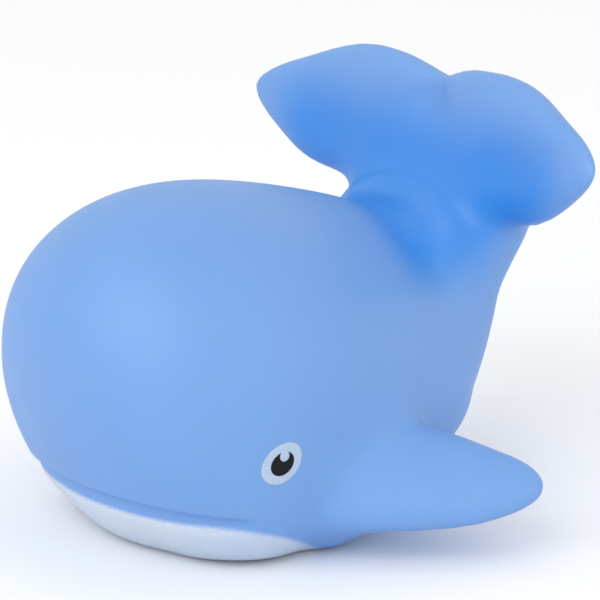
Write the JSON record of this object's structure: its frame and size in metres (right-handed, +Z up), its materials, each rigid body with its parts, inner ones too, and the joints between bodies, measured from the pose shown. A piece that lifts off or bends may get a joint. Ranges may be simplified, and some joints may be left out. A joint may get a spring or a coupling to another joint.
{
  "type": "squeaky bath toy",
  "caption": "Hollow soft vinyl whale with a sprayed white belly, printed eyes and a reed squeaker in its flat foot; its flanks press in to blow the reed.",
  "frame": {"origin": "on the plane of the flat foot, under the middle of the toy's length and width", "axes": "+X towards the nose, +Y to the whale's left, +Z up"},
  "size_m": [0.0916, 0.1022, 0.0725],
  "materials": {
    "blue_vinyl": "satin soft vinyl",
    "white_paint": "sprayed matte",
    "eye_paint": "printed satin",
    "black_ink": "printed gloss",
    "plug_plastic": "moulded satin",
    "barrel_plastic": "moulded gloss",
    "bed_plastic": "moulded satin",
    "reed_film": "clear amber film"
  },
  "bodies": {
    "whale": {"vinyl_body": "blue_vinyl", "belly_paint": "white_paint", "squeaker_plug": "plug_plastic", "reed_barrel": "barrel_plastic", "reed_bed": "bed_plastic", "reed_wedge": "bed_plastic"},
    "left_cheek": {"left_eye_white": "eye_paint", "left_pupil": "black_ink"},
    "right_cheek": {"right_eye_white": "eye_paint", "right_pupil": "black_ink"},
    "reed": {"reed_tongue": "reed_film"}
  },
  "joints": [
    {"name": "squeeze_left", "type": "slide", "parent": "whale", "child": "left_cheek", "axis": [0, -1, 0], "range_m": [0, 0.006], "stiffness_N_per_m": 500, "deforming": ["vinyl_body"]},
    {"name": "squeeze_right", "type": "slide", "parent": "whale", "child": "right_cheek", "axis": [0, 1, 0], "range_m": [0, 0.006], "stiffness_N_per_m": 500, "deforming": ["vinyl_body"]},
    {"name": "reed_flex", "type": "hinge", "parent": "whale", "child": "reed", "pos_m": [0.0069, 0, 0.0053], "axis": [0, 1, 0], "range_deg": [-3.5, 4], "stiffness_Nm_per_rad": 0.0005, "deforming": ["reed_tongue"]}
  ]
}
